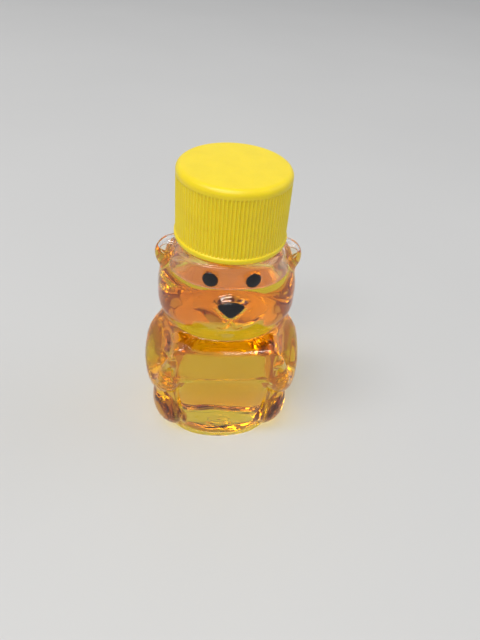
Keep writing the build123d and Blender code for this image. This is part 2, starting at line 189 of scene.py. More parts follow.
# Each lamp, in metres: its place, its length and its width
LAMP_OVERHEAD = ((-0.47, -0.24, 1.6), 1.2, 0.28)
LAMP_IN_FRONT = ((-0.50, -1.05, 1.6), 1.3, 0.28)
LAMP_AT_SIDE = ((1.3, 0.1, 1.0), 1.0, 0.8)
LAMP_TARGET, LAMP_WARMTH = (0, 0, 0.04), (1.0, 0.98, 0.94)

# The room's light from its foot up to its ceiling: a place on the way and the colour there
ROOM_LOW, ROOM_HIGH = (0.0, (0.45, 0.46, 0.48, 1)), (0.6, (1.0, 1.0, 1.0, 1))

# How strongly honey bends light, and how often light may bend or bounce inside the clear pieces
HONEY_BEND, LIGHT_BOUNCES = 1.49, 48

# Sections of the trunk: shares of its height, of its width and of its depth
TRUNK_SHARES = (
    (0.12, 0.93, 0.93),
    (0.30, 0.98, 0.98),
    (0.52, 1.00, 1.00),
    (0.72, 0.96, 0.96),
    (0.88, 0.90, 0.86),
    (1.00, 0.82, 0.75),
    (1.08, 0.66, 0.58),
)

# Sections of the head: shares of its height, of its width, and of its depth in front and behind
HEAD_SHARES = (
    (-0.12, 0.74, 0.68, 0.68),
    (0.00, 0.90, 0.84, 0.82),
    (0.13, 0.98, 0.95, 0.91),
    (0.36, 1.00, 1.00, 0.95),
    (0.56, 0.97, 0.97, 0.95),
)

# Sections of the brow: shares of the head's height and width, and of the way from forehead to crown
BROW_SHARES = (
    (0.80, 0.83, 0.00),
    (0.94, 0.77, 0.50),
)

# Places along an arm: shares of its reach out and forward, of the trunk's height and of its thickness
ARM_SHARES = (
    (0.76, 0.00, 0.90, 0.92),
    (0.92, 0.00, 0.78, 1.00),
    (1.00, 0.10, 0.63, 1.00),
    (0.98, 0.35, 0.54, 0.96),
    (0.92, 0.64, 0.55, 0.82),
    (0.85, 0.81, 0.62, 0.71),
)


def through(heights, values, z):
    """A smooth curve through named values at named heights, flat past both ends."""
    heights = np.asarray(heights, float)
    values = np.asarray(values, float)
    slopes = np.gradient(values, heights)
    z = np.clip(z, heights[0], heights[-1])
    index = np.clip(np.searchsorted(heights, z, side="right") - 1, 0, len(heights) - 2)
    span = heights[index + 1] - heights[index]
    t = (z - heights[index]) / span
    rise = values[index + 1] - values[index]
    start, end = slopes[index] * span, slopes[index + 1] * span
    return values[index] + t * (start + t * ((3 * rise - 2 * start - end) + t * (start + end - 2 * rise)))


def union(a, b, blend):
    """Two signed distances joined with a soft crease of the given width."""
    share = np.clip(0.5 + 0.5 * (b - a) / blend, 0, 1)
    return b + (a - b) * share - blend * share * (1 - share)


def common(a, b, blend):
    """What two signed distances have in common, with a soft edge of the given width."""
    return -union(-a, -b, blend)


def section_gap(x, y, z, heights, widths, fronts, backs, power):
    """Signed distance to a stack of rounded sections."""
    half_width = through(heights, widths, z)
    depth = np.where(y < 0, through(heights, fronts, z), through(heights, backs, z))
    k = (np.abs(x / half_width) ** power + np.abs(y / depth) ** power) ** (1 / power)
    return np.hypot(x, y) * (1 - 1 / np.maximum(k, 1e-6))


def egg_gap(x, y, z, center, radii):
    """Signed distance to an ellipsoid."""
    px, py, pz = x - center[0], y - center[1], z - center[2]
    near = np.sqrt((px / radii[0]) ** 2 + (py / radii[1]) ** 2 + (pz / radii[2]) ** 2)
    steep = np.sqrt((px / radii[0] ** 2) ** 2 + (py / radii[1] ** 2) ** 2 + (pz / radii[2] ** 2) ** 2)
    return near * (near - 1) / np.maximum(steep, 1e-6)


def rod_gap(x, y, z, start, end, start_radius, end_radius):
    """Signed distance to a rod with round ends whose radius changes along it."""
    ax = [end[i] - start[i] for i in range(3)]
    length = sum(a * a for a in ax)
    px, py, pz = x - start[0], y - start[1], z - start[2]
    t = np.clip((px * ax[0] + py * ax[1] + pz * ax[2]) / length, 0, 1)
    gap = np.sqrt((px - ax[0] * t) ** 2 + (py - ax[1] * t) ** 2 + (pz - ax[2] * t) ** 2)
    return gap - (start_radius + (end_radius - start_radius) * t)


def trunk_gap(x, y, z):
    """Signed distance to the trunk, from the base up into the head."""
    heights = [0] + [TRUNK_HEIGHT * row[0] for row in TRUNK_SHARES]
    widths = [BASE_WIDTH / 2] + [TRUNK_WIDTH / 2 * row[1] for row in TRUNK_SHARES]
    fronts = [BASE_DEPTH / 2] + [TRUNK_FRONT * row[2] for row in TRUNK_SHARES]
    backs = [BASE_DEPTH / 2] + [BACK_DEPTH * row[2] for row in TRUNK_SHARES]
    return np.maximum(section_gap(x, y, z, heights, widths, fronts, backs, TRUNK_POWER), z - heights[-1])


def head_rows():
    """The head's sections: height, half width, depth in front and depth behind."""
    half_width, half_depth = HEAD_WIDTH / 2, HEAD_DEPTH / 2
    rows = [(TRUNK_HEIGHT + HEAD_HEIGHT * high, half_width * wide, half_depth * front, half_depth * back)
            for high, wide, front, back in HEAD_SHARES]
    for high, wide, crown in BROW_SHARES:
        depth = (FOREHEAD_DEPTH * (1 - crown) + CROWN_DEPTH * crown) / 2
        rows.append((TRUNK_HEIGHT + HEAD_HEIGHT * high, half_width * wide, depth, depth))
    rows.append((SHOULDER_Z, CROWN_WIDTH / 2, CROWN_DEPTH / 2, CROWN_DEPTH / 2))
    return rows


def head_gap(x, y, z):
    """Signed distance to the head, up to the crown under the neck."""
    heights, widths, fronts, backs = zip(*head_rows())
    return np.maximum(section_gap(x, y, z, heights, widths, fronts, backs, HEAD_POWER), heights[0] - z)


def arm_gap(x, y, z):
    """Signed distance to one arm, from the shoulder out to the elbow and forward to the wrist."""
    joints = np.arange(len(ARM_SHARES))
    along = np.linspace(0, joints[-1], ARM_STATIONS)
    out, forward, height, thick = [through(joints, column, along) for column in zip(*ARM_SHARES)]
    reach_out = (ELBOW_REACH - ARM_TUCK - ARM_RADIUS) * out
    stations = list(zip(reach_out, -TRUNK_FRONT * forward, TRUNK_HEIGHT * height))
    gap = np.full(np.broadcast(x, y, z).shape, FAR_OUT)
    for index in range(ARM_STATIONS - 1):
        radii = ARM_RADIUS * thick[index], ARM_RADIUS * thick[index + 1]
        gap = np.minimum(gap, rod_gap(x, y, z, stations[index], stations[index + 1], *radii))
    return gap


def panel_gap(x, y, z):
    """Signed distance to the block of the front panel, with its dipped and sloping ledge."""
    half = PANEL_WIDTH / 2
    dip = PANEL_DIP * (1 - np.clip(x / half, 0, 1) ** 2)
    slope = PANEL_LEDGE_RISE * np.clip((y + PANEL_REACH) / PANEL_LEDGE, 0, 1)
    middle = (PANEL_FOOT + PANEL_TOP) / 2
    tall = (PANEL_TOP - PANEL_FOOT) / 2
    lift = z - middle + np.where(z > middle, dip - slope, 0)
    rounding = np.where(lift > 0, PANEL_CORNER, PANEL_FOOT_CORNER)
    out_x, out_z = x - (half - rounding), np.abs(lift) - (tall - rounding)
    outline = np.hypot(np.maximum(out_x, 0), np.maximum(out_z, 0)) + np.minimum(np.maximum(out_x, out_z), 0)
    face = -y - PANEL_REACH + PANEL_CROWN * (x / half) ** 2
    return np.maximum(common(outline - rounding, face, PANEL_EDGE), y)


def thumb_gap(x, y, z):
    """Signed distance to the thumb, which rests on the edge of the panel."""
    half = PANEL_WIDTH / 2
    foot = (half + THUMB_RADIUS, PANEL_LEDGE - PANEL_REACH, PANEL_FOOT + THUMB_RISE)
    tip = (half, THUMB_RADIUS - PANEL_REACH, PANEL_FOOT + THUMB_RISE + THUMB_LENGTH)
    return rod_gap(x, y, z, foot, tip, THUMB_RADIUS, THUMB_RADIUS)


def finger_grooves(x, y, z):
    """How deep the grooves between the fingers are: they curve down towards the panel."""
    half = PANEL_WIDTH / 2
    along = np.clip((x - half + FINGER_WRAP) / FINGER_LENGTH, 0, 1)
    depth = np.zeros(np.broadcast(x, y, z).shape)
    for finger in range(FINGER_COUNT):
        middle = PANEL_FOOT + FINGER_RISE - FINGER_PITCH * finger - FINGER_DROP * (1 - along) ** 2
        depth = depth + np.exp(-(((z - middle) / FINGER_WIDTH) ** 2))
    ends = eased((x - half + FINGER_WRAP) / FINGER_START) * eased((half + FINGER_LENGTH - x) / FINGER_END)
    return np.where(y < 0, FINGER_DEPTH * ends * depth, 0)


def face_depth(x, z):
    """How far forward the plain head lies beside its middle."""
    rows = head_rows()
    half_width = through([row[0] for row in rows], [row[1] for row in rows], z)
    depth = through([row[0] for row in rows], [row[2] for row in rows], z)
    return depth * (1 - (abs(x) / half_width) ** HEAD_POWER) ** (1 / HEAD_POWER)


def eye_frame(side):
    """The middle of an eye and its three directions: across, into the head, and up."""
    x, z = EYE_SPACING / 2, SHOULDER_Z - EYE_SINK
    fall = face_depth(x - EYE_WIDTH / 2, z) - face_depth(x + EYE_WIDTH / 2, z)
    turn = math.atan2(fall, EYE_WIDTH)
    tilt = math.radians(EYE_TILT)
    middle = np.array((side * x, -float(face_depth(x, z)), z))
    inward = np.array((-side * math.sin(turn), math.cos(turn), 0))
    sideways = np.array((side * math.cos(turn), math.sin(turn), 0))
    up = np.array((0, 0, 1.0))
    long_way = sideways * math.cos(tilt) + up * math.sin(tilt)
    short_way = up * math.cos(tilt) - sideways * math.sin(tilt)
    return middle, long_way, inward, short_way


def nose_frame():
    """The middle of the nose on the muzzle's plane, and its three directions."""
    middle = np.array((0, -HEAD_DEPTH / 2 - MUZZLE_REACH, SHOULDER_Z - NOSE_SINK - NOSE_HEIGHT / 2))
    return middle, np.array((1.0, 0, 0)), np.array((0, 1.0, 0)), np.array((0, 0, 1.0))


def eye_outline(across, up):
    """Signed distance inside the plane of an eye to the edge of its ink."""
    near = np.hypot(across / (EYE_WIDTH / 2), up / (EYE_HEIGHT / 2))
    steep = np.hypot(across / (EYE_WIDTH / 2) ** 2, up / (EYE_HEIGHT / 2) ** 2)
    return near * (near - 1) / np.maximum(steep, 1e-6)


def nose_outline(across, up):
    """Signed distance inside the plane of the nose to the edge of its ink."""
    half, tall = NOSE_WIDTH / 2, NOSE_HEIGHT / 2
    across = np.sqrt(across**2 + NOSE_POINT**2)
    arch = (half**2 + NOSE_ARCH**2) / (2 * NOSE_ARCH)
    brow = np.hypot(across, up - tall + arch) - arch
    drop = NOSE_HEIGHT - NOSE_ARCH
    slant = math.hypot(half, drop)
    flank = (across * drop - (up + tall) * half) / slant
    return common(brow, flank, NOSE_CORNER)


def eye_pad_gap(x, y, z):
    """Signed distance to the raised pad under an eye."""
    middle, across, inward, up = eye_frame(1)
    dx, dy, dz = x - middle[0], y - middle[1], z - middle[2]
    u = dx * across[0] + dy * across[1] + dz * across[2]
    v = dx * inward[0] + dy * inward[1] + dz * inward[2]
    w = dx * up[0] + dy * up[1] + dz * up[2]
    button = egg_gap(u, v, w, (0, EYE_DEPTH / 2 - PAD_RAISE, 0),
                     (EYE_WIDTH / 2 + PAD_RIM * 2, EYE_DEPTH / 2, EYE_HEIGHT / 2 + PAD_RIM * 2))
    return common(button, eye_outline(u, w) - PAD_RIM, EYE_PAD_EDGE)


def nose_pad_gap(x, y, z):
    """Signed distance to the rounded button under the nose."""
    middle = nose_frame()[0]
    button = egg_gap(x, y, z, (0, middle[1] + NOSE_DEPTH / 2, middle[2]),
                     (NOSE_WIDTH / 2 + PAD_RIM * 3, NOSE_DEPTH / 2, NOSE_HEIGHT / 2 + PAD_RIM * 3))
    return common(button, nose_outline(x, z - middle[2]) - PAD_RIM, NOSE_PAD_EDGE)


def mouth_depth(x, y, z):
    """How deep the lines of the mouth are pressed into the muzzle."""
    near = np.full(np.broadcast(x, z).shape, FAR_OUT)
    for start, end in zip(MOUTH_LINE, MOUTH_LINE[1:]):
        ax, az = end[0] - start[0], end[1] - start[1]
        t = np.clip(((x - start[0]) * ax + (z - start[1]) * az) / (ax * ax + az * az), 0, 1)
        near = np.minimum(near, np.hypot(x - start[0] - ax * t, z - start[1] - az * t))
    return np.where(y < -HEAD_DEPTH / 3, MOUTH_DEPTH * np.exp(-((near / MOUTH_WIDTH) ** 2)), 0)


def lap_crease(x, y, z):
    """How deep the crease between the lap and each haunch is."""
    line = through(CREASE_HEIGHTS, CREASE_PLACES, z)
    length = eased((z - CREASE_FOOT) / CREASE_FOOT_FADE) * eased((CREASE_TOP - z) / CREASE_TOP_FADE)
    return np.where(y < 0, CREASE_DEPTH * length * np.exp(-(((x - line) / CREASE_WIDTH) ** 2)), 0)


def body_gap(x, y, z):
    """Signed distance to the bear without its thumbs, its pads and the lines pressed into it."""
    x = np.abs(x)
    gap = union(trunk_gap(x, y, z), head_gap(x, y, z), HEAD_BLEND)
    haunch = egg_gap(x, y, z, (HAUNCH_SPREAD, -HAUNCH_FORWARD, HAUNCH_RISE), HAUNCH_RADII)
    gap = union(gap, haunch, HAUNCH_BLEND)
    gap = union(gap, arm_gap(x, y, z), ARM_BLEND)
    ear = egg_gap(x, y, z, (EAR_SPREAD, 0, SHOULDER_Z - EAR_SINK), EAR_RADII)
    gap = union(gap, ear, EAR_BLEND)
    muzzle = (0, MUZZLE_RADII[1] - HEAD_DEPTH / 2 - MUZZLE_REACH, TRUNK_HEIGHT + MUZZLE_RISE)
    gap = union(gap, egg_gap(x, y, z, muzzle, MUZZLE_RADII), MUZZLE_BLEND)
    chin = (0, CHIN_RADII[1] - CHIN_REACH, TRUNK_HEIGHT + CHIN_RISE)
    gap = union(gap, egg_gap(x, y, z, chin, CHIN_RADII), CHIN_BLEND)
    gap = union(gap, panel_gap(x, y, z), PANEL_BLEND)
    palm = (HAND_SPREAD, HAND_RADII[1] - PANEL_REACH, PANEL_FOOT)
    return union(gap, egg_gap(x, y, z, palm, HAND_RADII), HAND_BLEND)


def outer_gap(x, y, z):
    """Signed distance to the bottle's outside below its neck."""
    gap = body_gap(x, y, z)
    side = np.abs(x)
    gap = union(gap, thumb_gap(side, y, z), THUMB_BLEND)
    gap = union(gap, eye_pad_gap(side, y, z), EYE_PAD_BLEND)
    gap = union(gap, nose_pad_gap(side, y, z), NOSE_PAD_BLEND)
    gap = gap + mouth_depth(side, y, z) + lap_crease(side, y, z) + finger_grooves(side, y, z)
    seam = np.exp(-((y / SEAM_WIDTH) ** 2))
    return common(gap - SEAM_HEIGHT * seam, z - SHOULDER_Z, CROWN_EDGE)


def inner_gap(x, y, z):
    """Signed distance to the inside of the wall, softer than the outside."""
    return common(body_gap(x, y, z) + WALL, z - SHOULDER_Z + WALL, CROWN_EDGE)


def reach(gap, start, direction, longest):
    """How far each ray runs from its start to the first place inside a form."""
    start = [np.ravel(part).astype(float) for part in start]
    direction = [np.ravel(part).astype(float) for part in direction]
    before = np.zeros(start[0].size)
    after = np.zeros(start[0].size)
    before_gap = gap(*start)
    after_gap = before_gap.copy()
    open_rays = np.flatnonzero(before_gap > 0)
    while open_rays.size:
        step = np.clip(STEP_SHARE * after_gap[open_rays], SHORT_STEP, LONG_STEP)
        before[open_rays] = after[open_rays]
        before_gap[open_rays] = after_gap[open_rays]
        after[open_rays] += step
        place = [start[i][open_rays] + direction[i][open_rays] * after[open_rays] for i in range(3)]
        after_gap[open_rays] = gap(*place)
        open_rays = open_rays[(after_gap[open_rays] > 0) & (after[open_rays] < longest)]
    for guess in range(GUESSES):
        share = before_gap / np.where(before_gap == after_gap, 1, before_gap - after_gap)
        share = np.clip(share, LOW_GUESS, HIGH_GUESS) if guess % 3 else 0.5
        middle = before + (after - before) * share
        middle_gap = gap(*[start[i] + direction[i] * middle for i in range(3)])
        outside = middle_gap > 0
        before = np.where(outside, middle, before)
        before_gap = np.where(outside, middle_gap, before_gap)
        after = np.where(outside, after, middle)
        after_gap = np.where(outside, after_gap, middle_gap)
    return (before + after) / 2


def half_turns():
    """Turns from the front of the bear round to its back, close together on its face."""
    face = np.linspace(0, FACE_TURN, FACE_COLUMNS, endpoint=False)
    flank = np.linspace(FACE_TURN, 90, FLANK_COLUMNS, endpoint=False)
    back = np.linspace(90, 180, BACK_COLUMNS)
    return np.radians(np.concatenate((face, flank, back)))


def stepped(low, high, spacing):
    """Heights from low to high, with the spacing that is named for each band."""
    heights = [low]
    while heights[-1] < high:
        step = next(step for top, step in spacing if heights[-1] < top)
        heights.append(heights[-1] + step)
    return low + (np.array(heights) - low) * (high - low) / (heights[-1] - low)


def side_radii(gap, turns, heights):
    """Radii of a form round the bear's axis, one row for each height."""
    z, turn = np.meshgrid(heights, turns, indexing="ij")
    out = (np.sin(turn), -np.cos(turn))
    start = (out[0] * FAR_OUT, out[1] * FAR_OUT, z)
    direction = (-out[0], -out[1], np.zeros_like(z))
    return FAR_OUT - reach(gap, start, direction, FAR_OUT - CORE).reshape(z.shape)


def both_sides(radii):
    """Rows from the front to the back of one side, mirrored into whole rings."""
    return np.concatenate((radii, radii[:, -2:0:-1]), axis=1)


def ripple(x, y, z, height, length, seed):
    """A gentle unevenness of the blown wall, made from a few crossing waves."""
    waves = np.random.default_rng(seed)
    total = np.zeros_like(x)
    for _ in range(RIPPLE_WAVES):
        heading = waves.normal(size=3)
        heading *= 2 * math.pi / (length * waves.uniform(0.7, 1.6)) / np.linalg.norm(heading)
        total += np.sin(heading[0] * x + heading[1] * y + heading[2] * z + waves.uniform(0, 6.3))
    return height * total / RIPPLE_PEAK


def eased(share):
    """A share from 0 to 1 that starts and ends gently."""
    share = np.clip(share, 0, 1)
    return share * share * (3 - 2 * share)


def hollow_rise(radius):
    """Height of the push-up and its moulding gate over the table, at a distance from the middle."""
    ball = (PUSH_UP_RADIUS**2 + PUSH_UP_HEIGHT**2) / (2 * PUSH_UP_HEIGHT)
    dome = np.sqrt(ball**2 - np.minimum(radius, PUSH_UP_RADIUS) ** 2) - (ball - PUSH_UP_HEIGHT)
    gate_top = PUSH_UP_HEIGHT + GATE_HEIGHT
    return dome + (gate_top - dome) * eased((GATE_RADIUS + GATE_EDGE / 2 - radius) / GATE_EDGE)


def base_rings(edge, lift):
    """Rings of the underside: round over the push-up, then spreading to the edge of the base."""
    rings = []
    for radius in BASE_RADII:
        rings.append((np.full_like(edge, radius), np.full_like(edge, hollow_rise(radius) + lift)))
    for share in FLAT_SHARES:
        rings.append((BASE_RADII[-1] + (edge - BASE_RADII[-1]) * share, np.full_like(edge, lift)))
    return rings


def thread_relief(turn, z):
    """How far the neck's thread stands out at a turn and a height."""
    stand = np.zeros_like(z)
    for lap in range(2):
        turned = (turn / (2 * math.pi) - THREAD_START) % 1.0 + lap
        middle = THREAD_FOOT + THREAD_PITCH * turned
        fade = np.clip(np.minimum(turned, THREAD_TURNS - turned) / THREAD_FADE, 0, 1)
        flank = (THREAD_WIDTH / 2 + THREAD_FLANK / 2 - np.abs(z - middle)) / THREAD_FLANK
        stand = np.maximum(stand, (THREAD_RADIUS - FINISH_RADIUS) * eased(fade) * eased(flank))
    return stand


def ring_points(turns, rings):
    """Points of a stack of rings, each given as its radii and its heights."""
    radii = np.array([ring[0] for ring in rings])
    heights = np.array([ring[1] for ring in rings])
    return radii * np.sin(turns), -radii * np.cos(turns), heights


def closed_form(name, points):
    """A mesh from rows of points that run round the axis, closed by a fan at each end."""
    x, y, z = points
    rows, across = x.shape
    places = np.stack((x, y, z), axis=-1).reshape(-1, 3) * MM
    index = np.arange(rows * across).reshape(rows, across)
    following = np.roll(index, -1, axis=1)
    quads = np.stack((index[:-1], following[:-1], following[1:], index[1:]), axis=-1).reshape(-1, 4)
    first, last = rows * across, rows * across + 1
    ends = np.array([places[:across].mean(axis=0), places[-across:].mean(axis=0)])
    places = np.concatenate((places, ends))
    low_fan = np.stack((np.full(across, first), following[0], index[0]), axis=-1)
    high_fan = np.stack((np.full(across, last), index[-1], following[-1]), axis=-1)
    mesh = bpy.data.meshes.new(name)
    mesh.vertices.add(len(places))
    mesh.vertices.foreach_set("co", places.ravel())
    corners = np.concatenate((quads.ravel(), low_fan.ravel(), high_fan.ravel()))
    sizes = np.concatenate((np.full(len(quads), 4), np.full(2 * across, 3)))
    mesh.loops.add(len(corners))
    mesh.loops.foreach_set("vertex_index", corners)
    mesh.polygons.add(len(sizes))
    mesh.polygons.foreach_set("loop_start", np.concatenate(((0,), np.cumsum(sizes)[:-1])))
    mesh.polygons.foreach_set("use_smooth", np.ones(len(sizes), bool))
    mesh.update(calc_edges=True)
    mesh.validate()
    return mesh


def shell_radii():
    """The turns, heights and radii that the bottle and the honey share, worked out once."""
    if SHELL:
        return SHELL
    half = half_turns()
    turns = np.concatenate((half, 2 * math.pi - half[-2:0:-1]))
    heights = stepped(BASE_EDGE, SHOULDER_Z, OUTER_SPACING)
    outer = both_sides(side_radii(outer_gap, half, heights))
    wet_heights = stepped(BASE_WALL + FLOOR_EDGE, HONEY_EDGE_Z, WET_SPACING)
    dry_heights = stepped(HONEY_EDGE_Z, SHOULDER_Z - WALL, DRY_SPACING)
    inner_heights = np.concatenate((wet_heights, dry_heights[1:]))
    off_ear = np.abs(np.abs(np.abs(turns) - math.pi) - math.pi / 2)
    edge = HONEY_EDGE_Z + EAR_CREEP * np.exp(-((off_ear / EAR_TURN) ** 4))
    inner = both_sides(side_radii(inner_gap, half, inner_heights))
    rise = inner_heights[:, None] + np.zeros_like(inner)
    place = (inner * np.sin(turns), -inner * np.cos(turns), rise)
    inner = inner + ripple(*place, height=INNER_RIPPLE, length=INNER_RIPPLE_LENGTH, seed=3)
    rise = heights[:, None] + np.zeros_like(outer)
    place = (outer * np.sin(turns), -outer * np.cos(turns), rise)
    outer = outer + ripple(*place, height=OUTER_RIPPLE, length=OUTER_RIPPLE_LENGTH, seed=8)
    SHELL.update(turns=turns, heights=heights, outer=outer)
    SHELL.update(inner_heights=inner_heights, inner=inner, edge=edge)
    return SHELL


def level(turns, height):
    """One height all round a ring."""
    return np.full_like(turns, height)


def bottle_rings(shell):
    """Rings of the whole bottle: under the base, up the outside, over the lip, and down the inside."""
    turns, outer, inner = shell["turns"], shell["outer"], shell["inner"]
    rings = base_rings(outer[0] - BASE_EDGE, 0.0)
    for bend in np.radians(np.linspace(0, 90, 10)[:-1]):
        rings.append((outer[0] - BASE_EDGE * (1 - math.sin(bend)),
                      level(turns, BASE_EDGE * (1 - math.cos(bend)))))
    rings += [(row, level(turns, z)) for row, z in zip(outer, shell["heights"])]
    foot = FINISH_RADIUS + NECK_FILLET
    for share in (0.2, 0.4, 0.6, 0.8, 1.0):
        rings.append((outer[-1] + (foot - outer[-1]) * share, level(turns, SHOULDER_Z)))
    for bend in np.radians(np.linspace(0, 90, 5)[1:]):
        rings.append((level(turns, foot - NECK_FILLET * math.sin(bend)),
                      level(turns, SHOULDER_Z + NECK_FILLET - NECK_FILLET * math.cos(bend))))
    for z in np.arange(SHOULDER_Z + NECK_START, MOUTH_Z - LIP, NECK_SPACING):
        rings.append((FINISH_RADIUS + thread_relief(turns, level(turns, z)), level(turns, z)))
    for bend in np.radians(np.linspace(0, 180, 9)):
        middle, half = (FINISH_RADIUS + BORE_RADIUS) / 2, (FINISH_RADIUS - BORE_RADIUS) / 2
        reach_in = half - LIP + LIP * abs(math.cos(bend))
        side = 1 if bend < math.pi / 2 else -1
        rings.append((level(turns, middle + side * reach_in),
                      level(turns, MOUTH_Z - LIP + LIP * math.sin(bend))))
    crown = SHOULDER_Z - WALL
    for z in np.arange(MOUTH_Z - BORE_SPACING, crown + NECK_FILLET, -BORE_SPACING):
        rings.append((level(turns, BORE_RADIUS), level(turns, z)))
    for bend in np.radians(np.linspace(0, 90, 5)):
        rings.append((level(turns, BORE_RADIUS + BORE_FILLET - BORE_FILLET * math.cos(bend)),
                      level(turns, crown + BORE_FILLET - BORE_FILLET * math.sin(bend))))
    for share in (0.25, 0.5, 0.75):
        across = (inner[-1] - BORE_RADIUS - BORE_FILLET) * share
        rings.append((BORE_RADIUS + BORE_FILLET + across, level(turns, crown)))
    return rings, inside_rings(shell, 0.0)[::-1]


def inside_rings(shell, gap):
    """Rings of the inside wall from the middle of the floor to the crown, a gap away from it."""
    turns, inner = shell["turns"], shell["inner"] - gap
    rings = [(radius, height + BASE_WALL + gap) for radius, height in base_rings(inner[0] - FLOOR_EDGE, 0.0)]
    for bend in np.radians(np.linspace(0, 90, 9)[:-1]):
        rings.append((inner[0] - FLOOR_EDGE * (1 - math.sin(bend)),
                      level(turns, BASE_WALL + gap + FLOOR_EDGE * (1 - math.cos(bend)))))
    rings += [(row, level(turns, z)) for row, z in zip(inner, shell["inner_heights"])]
    return rings


def bottle_mesh(shell):
    """The bottle as one closed wall, with its wetted inside in a material of its own."""
    outside, inside = bottle_rings(shell)
    mesh = closed_form("bottle_shell", ring_points(shell["turns"], outside + inside))
    across = len(shell["turns"])
    slots = np.zeros(len(mesh.polygons), np.int32)
    for row, (low, high) in enumerate(zip(inside[1:], inside)):
        first = (len(outside) + row) * across
        middle = (low[1] + high[1]) / 2
        slots[first : first + across] = (middle < shell["edge"]).astype(np.int32)
    slots[-across:] = 1
    mesh.polygons.foreach_set("material_index", slots)
    return mesh


def honey_mesh(shell):
    """The honey as one closed body that follows the wall, and creeps up it at the top and in the ears."""
    turns, edge = shell["turns"], shell["edge"]
    rings = [ring for ring in inside_rings(shell, FILM) if ring[1].max() < HONEY_TOP_Z - CREEP_START]
    start = rings[-1][1].max()
    for share in np.linspace(0, 1, CREEP_RINGS)[1:]:
        height = start + (edge - start) * share
        wall = [np.interp(z, shell["inner_heights"], column) for z, column in zip(height, shell["inner"].T)]
        rings.append((np.array(wall) - FILM, height))
    sides = len(rings)
    rim = rings[-1][0]
    fall = CREEP_WIDTH + EAR_CREEP_WIDTH * (edge - HONEY_EDGE_Z) / EAR_CREEP
    for out in CREEP_OUTS:
        rings.append((rim - out, HONEY_TOP_Z + (edge - HONEY_TOP_Z) * np.exp(-out / fall)))
    for share in FLAT_SHARES:
        height = HONEY_TOP_Z + (rings[-1][1] - HONEY_TOP_Z) * (1 - share)
        rings.append(((rim - CREEP_OUTS[-1]) * (1 - share), height))
    mesh = closed_form("honey_filling", ring_points(turns, rings))
    across = len(turns)
    top = np.zeros(len(mesh.polygons))
    top[(sides - 1) * across : (len(rings) - 1) * across] = 1
    top[-across:] = 1
    mesh.attributes.new("free_surface", "FLOAT", "FACE").data.foreach_set("value", top)
    return mesh


def ink_mesh(name, frame_of_pad, outline, mirror):
    """A thin coat of ink over a raised pad, rounded off at its edge."""
    middle, across, inward, up = frame_of_pad
    columns, widest, lead, sink, fullness = 96, 6.0, 4, 0.04, 8
    round_turns = np.linspace(0, 2 * math.pi, columns, endpoint=False)
    low, high = np.zeros(columns), np.full(columns, widest)
    for _ in range(40):
        half = (low + high) / 2
        inside = outline(half * np.cos(round_turns), half * np.sin(round_turns)) < 0
        low, high = np.where(inside, half, low), np.where(inside, high, half)
    shares = np.array(INK_SHARES)
    u = shares[:, None] * low * np.cos(round_turns)
    w = shares[:, None] * low * np.sin(round_turns)
    start = [middle[i] + across[i] * u + up[i] * w - inward[i] * lead for i in range(3)]
    heading = [np.full_like(u, inward[i]) for i in range(3)]
    depth = reach(outer_gap, start, heading, 3 * lead).reshape(u.shape)
    coat = INK * np.sqrt(1 - shares[:, None] ** fullness)
    under = [start[i] + inward[i] * (depth + sink) for i in range(3)]
    over = [start[i] + inward[i] * (depth - coat) for i in range(3)]
    points = [np.concatenate((under[i], over[i][::-1])) for i in range(3)]
    if mirror:
        points = [-points[0][:, ::-1], points[1][:, ::-1], points[2][:, ::-1]]
    return closed_form(name, points)


def rib_relief(turns, count):
    """How much of a rib's depth is cut away round the cap: none on a crest and all in a valley."""
    phase = (turns * count / (2 * math.pi)) % 1.0
    return 1 - eased((VALLEY_HALF - np.abs(phase - 0.5)) / VALLEY_FLANK)


def cap_thread_relief(turn, z):
    """How far the cap's own thread stands in from its bore."""
    stand = np.zeros_like(z)
    for lap in range(3):
        turned = (turn / (2 * math.pi) + CAP_THREAD_START) % 1.0 + lap
        middle = CAP_THREAD_FOOT + THREAD_PITCH * turned
        fade = np.clip(np.minimum(turned, CAP_THREAD_TURNS - turned) / THREAD_FADE, 0, 1)
        flank = (CAP_THREAD_REACH - np.abs(z - middle)) / CAP_THREAD_FLANK
        stand = np.maximum(stand, (CAP_BORE_RADIUS - CAP_THREAD_RADIUS) * eased(fade) * eased(flank))
    return stand


